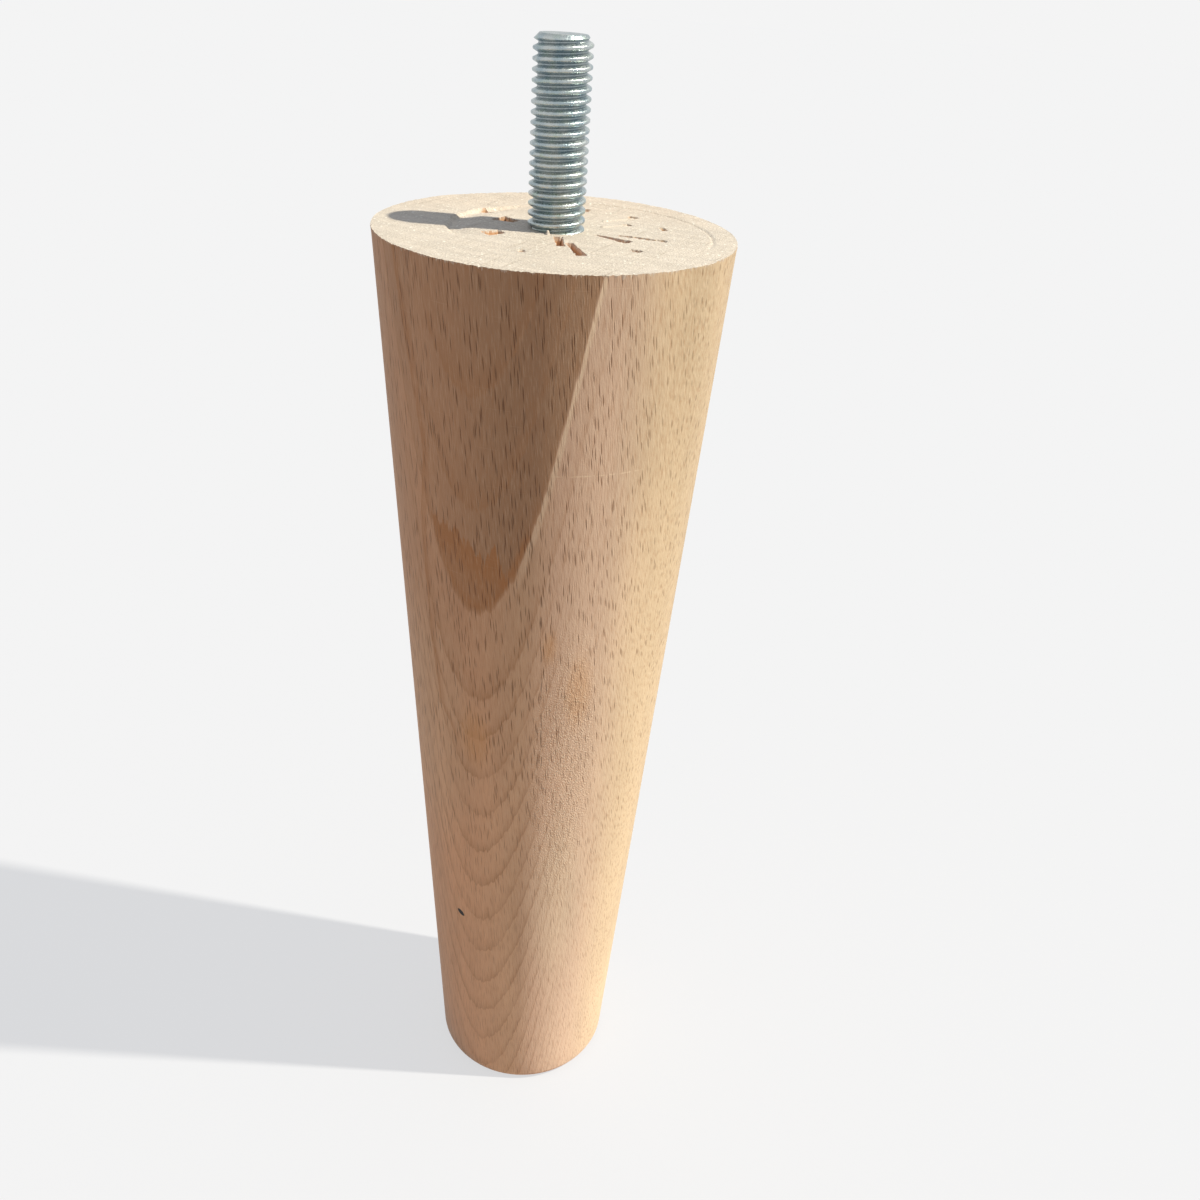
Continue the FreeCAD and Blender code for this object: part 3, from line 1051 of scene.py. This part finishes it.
# Noises and steps in the same form as for the beech, in millimetres
BLUE_CLOUD = ((2.2, 2.2, 3.0), 3.0)
BLUE_SHARE = (0.35, 0.65)
GREEN_CLOUD = ((1.4, 1.4, 0.9), 2.0)
GREEN_SHARE = (0.5, 0.75, 0.0, 0.7)
ROOT_SHADE_AND_DULL_SHARE = (STUD_RADIUS - THREAD_DEPTH, STUD_RADIUS - 0.35, 0.35, 0.0)
ZINC_GRAIN = ((0.24, 0.24, 0.16), 3.0)
ZINC_GRAIN_RELIEF = 0.055
ZINC_SCRATCH = ((0.5, 0.5, 0.03), 2.0)
ZINC_SCRATCH_RELIEF = 0.012
ZINC_ROUGHNESS = (0.3, 0.7, 0.18, 0.46)
ROOT_ROUGHNESS = 0.15


def zinc_material():
    """Bright zinc plating with bluish and greenish passivation, duller in the thread roots and darkened
    there with painted shade.
    """
    graph = Graph(bpy.data.materials.new("bright_zinc"))
    point = graph.point(MM)
    x, y, _ = graph.split(point)
    squares = [graph.math("POWER", side, 2.0) for side in (x, y)]
    radius = graph.math("SQRT", graph.math("ADD", *squares))
    colour = graph.mix(graph.ease(graph.noise(point, *BLUE_CLOUD), *BLUE_SHARE), ZINC_LIGHT, ZINC_BLUE)
    colour = graph.mix(graph.ease(graph.noise(point, *GREEN_CLOUD), *GREEN_SHARE), colour, ZINC_GREEN)
    # Thread roots: rougher, and darker as painted shade
    root = graph.ease(radius, *ROOT_SHADE_AND_DULL_SHARE)
    colour = graph.mix(root, colour, ZINC_ROOT_SHADE)
    grain = graph.noise(point, *ZINC_GRAIN)
    root_rough = graph.math("MULTIPLY", root, ROOT_ROUGHNESS)
    rough = graph.math("ADD", graph.ease(grain, *ZINC_ROUGHNESS), root_rough)
    scratch = graph.math("MULTIPLY", graph.noise(point, *ZINC_SCRATCH), ZINC_SCRATCH_RELIEF)
    graph.bump(graph.math("MULTIPLY_ADD", grain, ZINC_GRAIN_RELIEF, scratch))
    return graph.finish(Base_Color=colour, Roughness=rough, Metallic=1.0)


# Stage: floor, dome, sun and camera

def background_seen(graph):
    """1 for rays that show the background: camera, glossy and transmission rays."""
    rays = graph.new("ShaderNodeLightPath").outputs
    shown = rays["Is Camera Ray"]
    for name in ("Is Glossy Ray", "Is Transmission Ray"):
        shown = graph.math("MAXIMUM", shown, rays[name])
    return shown


def floor_material():
    """Pale matt floor with a faint shadow. It bounces less, warmer light onto the leg than it shows."""
    graph = Graph(bpy.data.materials.new("pale_floor"))
    shown = background_seen(graph)
    colour = graph.mix(shown, FLOOR_BOUNCE, FLOOR_SEEN)
    material = graph.finish(Base_Color=colour, Roughness=1.0, Specular_IOR_Level=0.0)
    matt = graph.tree.nodes[SHADER].outputs[0]
    glow = graph.new("ShaderNodeEmission")
    glow.inputs["Color"].default_value = PALE
    glow_share = graph.times(shown, FLOOR_GLOW)
    both = graph.feed_all(graph.new("ShaderNodeMixShader"), (glow_share, matt, glow.outputs[0]))
    graph.feed(graph.socket("Material Output", "Surface"), both)
    return material


def make_floor():
    """A wide round floor under the leg."""
    mesh = bpy.data.meshes.new("floor")
    shape = bmesh.new()
    bmesh.ops.create_circle(shape, cap_ends=True, segments=FLOOR_SEGMENTS, radius=FLOOR_RADIUS)
    shape.to_mesh(mesh)
    shape.free()
    floor = bpy.data.objects.new("floor", mesh)
    floor.data.materials.append(floor_material())
    bpy.context.scene.collection.objects.link(floor)


def make_light():
    """The dome that lights evenly and looks pale, and the sun."""
    world = bpy.data.worlds.new("dome")
    bpy.context.scene.world = world
    graph = Graph(world)
    graph.feed(graph.socket("Background", "Color"), graph.mix(background_seen(graph), DOME_COLOUR, PALE))
    lamp = bpy.data.lights.new("sun", "SUN")
    lamp.energy = SUN_STRENGTH
    lamp.color = SUN_COLOUR
    lamp.angle = SUN_SPREAD
    sun = bpy.data.objects.new("sun", lamp)
    towards_sun = Vector((
        math.cos(SUN_ELEVATION) * math.cos(SUN_AZIMUTH),
        math.cos(SUN_ELEVATION) * math.sin(SUN_AZIMUTH),
        math.sin(SUN_ELEVATION),
    ))
    sun.rotation_euler = towards_sun.to_track_quat("Z", "Y").to_euler()
    bpy.context.scene.collection.objects.link(sun)


def make_camera():
    """The camera in front of the leg, looking down on it."""
    lens = bpy.data.cameras.new("camera")
    lens.sensor_width = SENSOR
    lens.lens = FOCAL
    lens.clip_start = MM
    camera = bpy.data.objects.new("camera", lens)
    turn = (
        Matrix.Rotation(CAMERA_YAW, 4, "Z")
        @ Matrix.Rotation(CAMERA_PITCH + math.pi / 2, 4, "X")
        @ Matrix.Rotation(CAMERA_ROLL, 4, "Z")
    )
    camera.matrix_world = Matrix.Translation(Vector(CAMERA_PLACE) * MM) @ turn
    bpy.context.scene.collection.objects.link(camera)
    bpy.context.scene.camera = camera


def add_piece(piece, node, material):
    """Dress one node of the frame with its piece and material."""
    piece.data.materials.append(material)
    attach(piece, "root")
    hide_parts(node)


bpy.context.scene.view_settings.view_transform = "Standard"
add_piece(make_leg(), "turned_leg", beech_material())
add_piece(make_bolt(), "hanger_bolt", zinc_material())
make_floor()
make_light()
make_camera()
